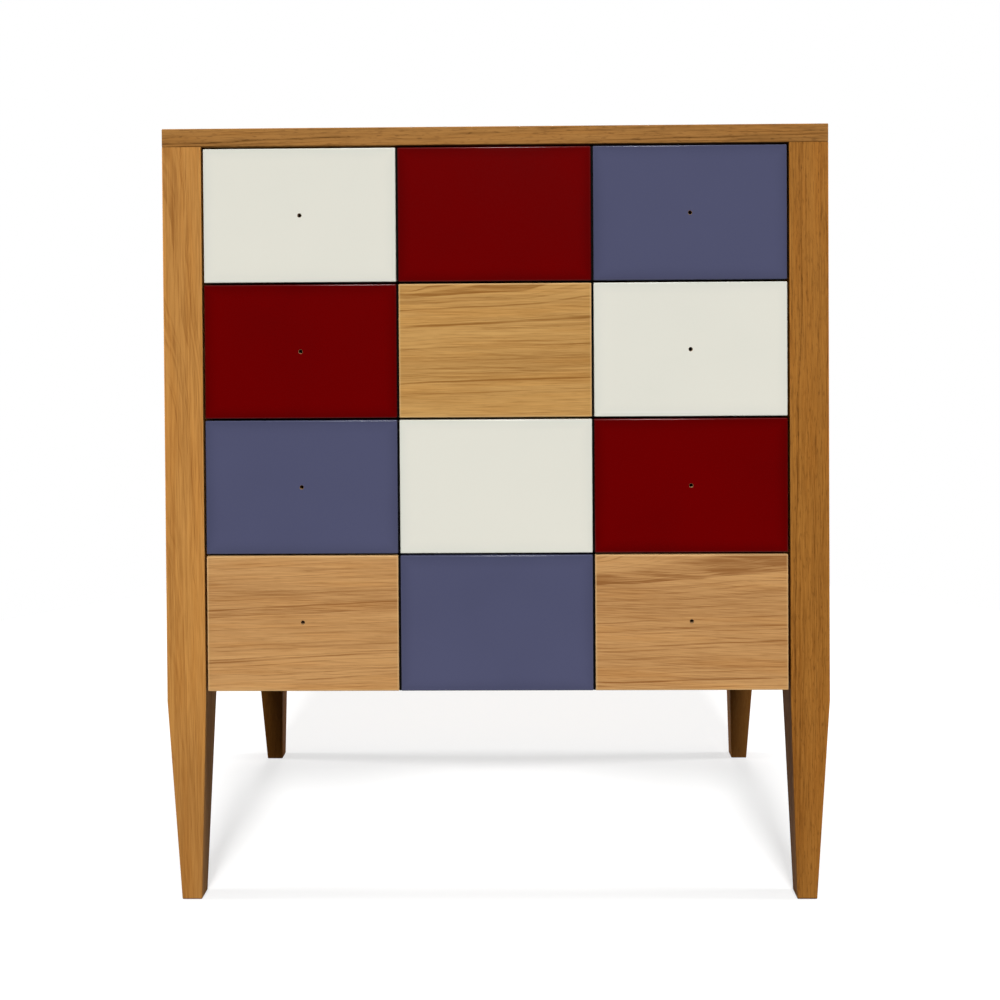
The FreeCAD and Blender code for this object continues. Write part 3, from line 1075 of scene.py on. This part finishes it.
@dataclass
class Post(Block):
    """A corner post whose foot tapers on three sides, with rounded arrises."""

    taper_start: float = 241.0 * MM
    outer_taper: float = 16.0 * MM
    inner_taper: float = 7.0 * MM
    depth_taper: float = 23.0 * MM

    def saw(self) -> Mesh:
        """Model the post with sharp edges.

        Returns:
            The post's mesh.
        """
        mesh = super().saw()
        centre = middle(self.node)
        side = math.copysign(1.0, centre.x)
        end = math.copysign(1.0, centre.y)
        geometry = [*mesh.verts, *mesh.edges, *mesh.faces]
        cut = (0.0, 0.0, self.taper_start)
        bmesh.ops.bisect_plane(mesh, geom=geometry, plane_co=cut, plane_no=(0.0, 0.0, 1.0))
        for vert in mesh.verts:
            if vert.co.z < self.taper_start / 2:
                outer = (vert.co.x - centre.x) * side > 0
                vert.co.x += side * (-self.outer_taper if outer else self.inner_taper)
                if (vert.co.y - centre.y) * end < 0:
                    vert.co.y += end * self.depth_taper
        return mesh

    def is_worked(self, edge: Edge) -> bool:
        """Tell whether an edge is rounded: the long arrises and those of the foot are."""
        low, high = sorted(vert.co.z for vert in edge.verts)
        return high - low >= self.arris or high < self.taper_start / 2


@dataclass
class EasedBoard(Block):
    """A packed board whose long arrises are eased with sandpaper."""

    arris: float = 0.6 * MM
    arris_steps: int = 2
    shortest: float = 30.0 * MM
    least_turn: float = math.radians(60.0)
    flat: float = math.radians(0.5)
    weld: float = 0.001 * MM

    def saw(self) -> Mesh:
        """Copy the board and join its triangles.

        Returns:
            The board's mesh.
        """
        mesh = bmesh.new()
        mesh.from_mesh(frame["nodes"][self.node].data)
        bmesh.ops.remove_doubles(mesh, verts=mesh.verts, dist=self.weld)
        bmesh.ops.dissolve_limit(
            mesh, angle_limit=self.flat, use_dissolve_boundaries=False, verts=mesh.verts, edges=mesh.edges,
        )
        for face in mesh.faces:
            face.smooth = False
        return mesh

    def is_worked(self, edge: Edge) -> bool:
        """Tell whether an edge is eased: long, sharp and outer ones are."""
        outer = edge.is_manifold and edge.is_convex
        return outer and edge.calc_length() > self.shortest and edge.calc_face_angle() > self.least_turn


@dataclass
class BoxFront(EasedBoard):
    """The inner front of a drawer, with near-black strips in the gaps between its panels that stand in for
    the shade there.
    """

    panels: Sequence[str] = ()
    groove: float = 1.8 * MM
    slack: float = 0.2 * MM
    set_back: float = 0.1 * MM

    def build(self) -> Mesh:
        """Model the board and its strips.

        Returns:
            The mesh.
        """
        mesh = super().build()
        for left, right in zip(self.panels, self.panels[1:]):
            edge, (low, high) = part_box(left)[1].x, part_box(right)
            depth = high.y - low.y - self.groove
            size = Vector((low.x - edge - self.slack, depth, high.z - low.z - 2 * self.set_back))
            centre = Vector(((low.x + edge) / 2, high.y - depth / 2, (low.z + high.z) / 2))
            bmesh.ops.create_cube(mesh, size=1.0, matrix=Matrix.LocRotScale(centre, None, size))
        return mesh


class Workshop:
    """Turns boards into pieces of the chest, and dresses them."""

    def __init__(self) -> None:
        """Look up the body and the slot of each node."""
        record = frame["record"]
        bodies = record["behaviour"]["bodies"]
        self.body_of = {node: body for body, nodes in bodies.items() for node in nodes}
        self.slot_of = {part["node"]: part["material_slot"] for part in record["subparts"]}

    def replace(self, board: Block, *finishes: Finish) -> None:
        """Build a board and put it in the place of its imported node.

        Args:
            board: The board.
            *finishes: Its finishes in the order of the faces' material numbers.
        """
        node = board.node
        piece = stand(node + "_finished", board.build())
        for finish in finishes:
            piece.data.materials.append(finish.material())
        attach(piece, self.body_of[node])
        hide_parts(node)
        LOG.info("%s: %d faces in the place of %s", piece.name, len(piece.data.polygons), node)

    def dress(self, finish: Finish, *nodes: str) -> None:
        """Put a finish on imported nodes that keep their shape.

        Args:
            finish: The finish.
            *nodes: The nodes.
        """
        for node in nodes:
            data = frame["nodes"][node].data
            data.materials.clear()
            data.materials.append(finish.material())
            LOG.info("%s: dressed as %s", node, finish.name)

    def dress_plywood(self, node: str, grain_way: Grain, through: Triple) -> None:
        """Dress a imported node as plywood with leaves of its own."""
        self.dress(PlywoodFinish(node + "_ply", grain_way, through, middle(node)), node)


@dataclass
class Carcass:
    """The posts, boards and fixed slide members."""

    shop: Workshop
    stave_width: float = 92.0

    def build(self) -> None:
        """Build and dress every piece that stands still."""
        self.build_posts()
        self.build_boards()
        self.shop.dress(ZINC, "cabinet_slides")
        self.shop.dress(CHROMATE, "cabinet_slide_screws", "top_board_screws")

    def build_posts(self) -> None:
        """Build the four posts, each from another part of the tree."""
        # The last value of each cut darkens the leg towards the floor as painted shade; the rear legs, in
        # the carcass's shadow, get the most.
        cuts = {
            "front_left_post": {
                **WARM_OAK, "heart": (-900.0, 62.0, 27.0), "taper": 0.03, "figure": 0.6, "streak": 0.6,
                "fleck": 0.25, "painted_leg_shade": 0.30,
            },
            "front_right_post": {
                **BROWN_OAK, "heart": (700.0, 44.0, -70.0), "taper": 0.012, "streak": 0.4, "fleck": 1.0,
                "painted_leg_shade": 0.17,
            },
            "rear_left_post": {
                **BROWN_OAK, "heart": (1900.0, -60.0, 40.0), "taper": 0.012, "streak": 0.5, "fleck": 0.8,
                "painted_leg_shade": 0.70,
            },
            "rear_right_post": {
                **WARM_OAK, "heart": (-2600.0, -35.0, -80.0), "taper": 0.012, "streak": 0.5, "fleck": 0.6,
                "painted_leg_shade": 0.72,
            },
        }
        for node, cut in cuts.items():
            self.shop.replace(Post(node), OakFinish(node + "_oak", middle(node), Grain.UPRIGHT, **cut))

    def build_boards(self) -> None:
        """Build the top board, sides, back, bottom, rails and battens."""
        top = OakFinish(
            "top_board_oak", middle("top_board"), Grain.ACROSS, (0.0, 0.0, 60.0), **DARK_OAK, streak=0.65,
            fleck=0.9, stave_width=self.stave_width,
        )
        self.shop.replace(Block("top_board"), top)
        hearts = {"left_side_panel": (420.0, 0.0, 55.0), "right_side_panel": (-840.0, 0.0, 55.0)}
        for node, heart in hearts.items():
            side = OakFinish(
                node + "_oak", middle(node), Grain.UPRIGHT, heart, **SIDE_OAK, figure=0.55, streak=0.6,
                stave_width=self.stave_width,
            )
            self.shop.replace(EasedBoard(node), side)
        self.shop.dress(BEECH_ACROSS, "front_top_rail", "rear_top_rail", "carcass_dowels")
        self.shop.dress(BEECH_DEEP, "runner_battens")
        self.shop.dress_plywood("back_panel", Grain.UPRIGHT, (0.0, 1.0, 0.0))
        self.shop.dress_plywood("bottom_panel", Grain.ACROSS, (0.0, 0.0, 1.0))


@dataclass
class Drawer:
    """One drawer: three front panels, its box and its slide members."""

    shop: Workshop
    number: int
    # How much lighter the oak fronts' arrises are drawn: wear, and a painted highlight.
    edge_wear_and_highlight: float = 0.4

    def build(self) -> None:
        """Build and dress the drawer."""
        name = f"drawer_{self.number}"
        panels = {column: f"{name}_front_{column.value}" for column in Column}
        for column, node in panels.items():
            panel = FrontPanel(node, bored=column is not Column.CENTRE)
            self.shop.replace(panel, self.front_finish(node), FIBREBOARD)
        self.shop.replace(BoxFront(name + "_box_front", panels=list(panels.values())), GAP_SHADE_BLACK)
        boards = {"_left_side": BEECH_DEEP, "_right_side": BEECH_DEEP, "_back": BEECH_ACROSS}
        for part, finish in boards.items():
            self.shop.replace(EasedBoard(name + part), finish)
        self.shop.dress_plywood(name + "_bottom", Grain.ACROSS, (0.0, 0.0, 1.0))
        self.shop.dress(ZINC, name + "_slides", name + "_middle_slides")
        self.shop.dress(CHROMATE, name + "_screws")

    def front_finish(self, node: str) -> Finish:
        """Choose the finish of a front panel.

        Args:
            node: The panel's node.

        Returns:
            Its lacquer, or oak cut for that panel.
        """
        slot = self.shop.slot_of[node]
        if slot in LACQUERS:
            return LACQUERS[slot]
        cuts = {
            "drawer_2_front_centre": {
                "heart": (300.0, 60.0, 92.0), "taper": 0.034, "year_width": 1.5,
                "dark_spots": ((-116.0, -8.0, 27.0), (0.0, -8.0, -36.0)),
            },
            "drawer_4_front_left": {
                **ROSY_OAK, "heart": (-1200.0, 40.0, 190.0), "taper": 0.048, "year_width": 1.5,
                "tone": -0.06, "dark_spots": ((-116.0, -8.0, 16.0), (-116.0, -8.0, -46.0)),
            },
            "drawer_4_front_right": {
                **ROSY_OAK, "heart": (2100.0, 60.0, 92.0), "taper": 0.055, "year_width": 3.6, "tone": 0.02,
                "tilt": -2.2, "dark_spots": ((-60.0, -8.0, 54.0), (30.0, -8.0, 71.0)),
            },
        }
        return OakFinish(node + "_oak", middle(node), Grain.ACROSS, worn=self.edge_wear_and_highlight, **cuts[node])


@dataclass(frozen=True)
class Lamp:
    """A wide, far lamp: its level, and its way round, height above the floor and width in degrees."""

    name: str
    level: float
    azimuth: float
    elevation: float
    spread: float

    def hang(self) -> None:
        """Hang the lamp."""
        data = bpy.data.lights.new(self.name, "SUN")
        data.energy = self.level * math.pi
        data.angle = math.radians(self.spread)
        around, up = math.radians(self.azimuth), math.radians(self.elevation)
        towards = Vector((math.sin(around) * math.cos(up), -math.cos(around) * math.cos(up), math.sin(up)))
        stand(self.name, data).rotation_euler = towards.to_track_quat("Z", "Y").to_euler()


@dataclass
class Studio:
    """The floor, the light and the camera."""

    floor_radius: float = 1.6
    floor_sides: int = 96
    floor_drop: float = 0.3 * MM
    floor_tone: float = 0.45
    floor_glow: float = 0.55
    floor_bounce: float = 0.1
    lamps: Sequence[Lamp] = (
        Lamp("key", 1.062, 1.0, 34.0, 14.0),
        Lamp("rear", 0.74, 180.0, 11.0, 20.0),
        Lamp("right", 0.72, 91.0, 24.0, 8.0),
        Lamp("left", 0.68, -91.0, 24.0, 8.0),
    )
    ambient: float = 0.085
    backdrop: Span = (-0.3, 0.3)
    ceiling: Span = (0.4, 0.75)
    dark_side: float = 0.03
    eye: Triple = (0.04145, -1.55355, 0.69179)
    yaw: float = 0.7111
    pitch: float = 0.6868
    roll: float = -0.3718
    focal_pixels: float = 1102.1
    sensor: float = 36.0
    shift: Span = (-0.0159, -0.160)

    def build(self) -> None:
        """Set up the studio."""
        self.lay_floor()
        self.light_world()
        for lamp in self.lamps:
            lamp.hang()
        self.set_camera()
        bpy.context.scene.view_settings.view_transform = "Standard"

    @staticmethod
    def rays(sheet: NodeSheet) -> tuple[Socket, Socket]:
        """Tell the rays that show the backdrop from the rest.

        Args:
            sheet: The sheet of the floor or the world.

        Returns:
            A value that is 1 for rays from the camera, and one for rays off gloss or through glass.
        """
        path = sheet.add("ShaderNodeLightPath", {}).outputs
        shiny = sheet.math("MAXIMUM", path["Is Glossy Ray"], path["Is Transmission Ray"])
        return path["Is Camera Ray"], shiny

    def lay_floor(self) -> None:
        """Lay a pale floor that is white where the light reaches it and keeps the shadow."""
        mesh = bmesh.new()
        bmesh.ops.create_circle(mesh, cap_ends=True, segments=self.floor_sides, radius=self.floor_radius)
        bmesh.ops.translate(mesh, vec=(0.0, 0.0, -self.floor_drop), verts=mesh.verts)
        floor = stand("floor", mesh)
        made = bpy.data.materials.new("pale_floor")
        made.use_nodes = True
        sheet = NodeSheet(made.node_tree)
        camera, shiny = self.rays(sheet)
        pale = sheet.add("ShaderNodeBsdfDiffuse", {"Color": grey(self.floor_tone)})
        light = {"Color": grey(1.0), "Strength": sheet.times(camera, self.floor_glow)}
        glow = sheet.add("ShaderNodeEmission", light)
        shown = sheet.add("ShaderNodeAddShader", {0: pale.outputs[0], 1: glow.outputs[0]})
        dim = sheet.add("ShaderNodeBsdfDiffuse", {"Color": grey(self.floor_bounce)})
        seen = sheet.math("MAXIMUM", camera, shiny)
        mixed = sheet.add("ShaderNodeMixShader", {0: seen, 1: dim.outputs[0], 2: shown.outputs[0]})
        sheet.add("ShaderNodeOutputMaterial", {"Surface": mixed.outputs[0]})
        floor.data.materials.append(made)

    def light_world(self) -> None:
        """Make the backdrop white where it is seen, and a dim surround for the rest of the light."""
        world = bpy.data.worlds.new("studio")
        world.use_nodes = True
        sheet = NodeSheet(world.node_tree)
        camera, shiny = self.rays(sheet)
        way = sheet.coordinate("Generated")
        behind = sheet.ease(sheet.axis(way, "Y"), *self.backdrop)
        above = sheet.ease(sheet.axis(way, "Z"), *self.ceiling)
        bright = sheet.between(sheet.math("MAXIMUM", behind, above), self.dark_side, 1.0)
        shown = sheet.math("MAXIMUM", camera, sheet.times(shiny, bright))
        soft = sheet.times(sheet.inverse(shiny), self.ambient)
        light = {"Color": grey(1.0), "Strength": sheet.math("MAXIMUM", shown, soft)}
        sky = sheet.add("ShaderNodeBackground", light)
        sheet.add("ShaderNodeOutputWorld", {"Surface": sky.outputs[0]})
        bpy.context.scene.world = world

    def set_camera(self) -> None:
        """Set the camera at the photograph's place and angle."""
        data = bpy.data.cameras.new("camera")
        data.sensor_width = self.sensor
        data.lens = self.focal_pixels / IMAGE_SIDE * self.sensor
        data.shift_x, data.shift_y = self.shift
        camera = stand("camera", data)
        level = Matrix.Rotation(math.radians(90.0 - self.pitch), 4, "X")
        turn = Matrix.Rotation(math.radians(self.yaw), 4, "Z")
        lean = Matrix.Rotation(math.radians(self.roll), 4, "Z")
        camera.matrix_world = Matrix.Translation(self.eye) @ turn @ level @ lean
        bpy.context.scene.camera = camera


def main() -> None:
    """Build the chest and its studio."""
    logging.basicConfig(level=logging.INFO, format="%(message)s")
    shop = Workshop()
    Carcass(shop).build()
    drawers = [body for body in frame["bodies"] if body.startswith("drawer_")]
    for number in range(1, len(drawers) + 1):
        Drawer(shop, number).build()
    Studio().build()


if __name__ == "__main__":
    main()
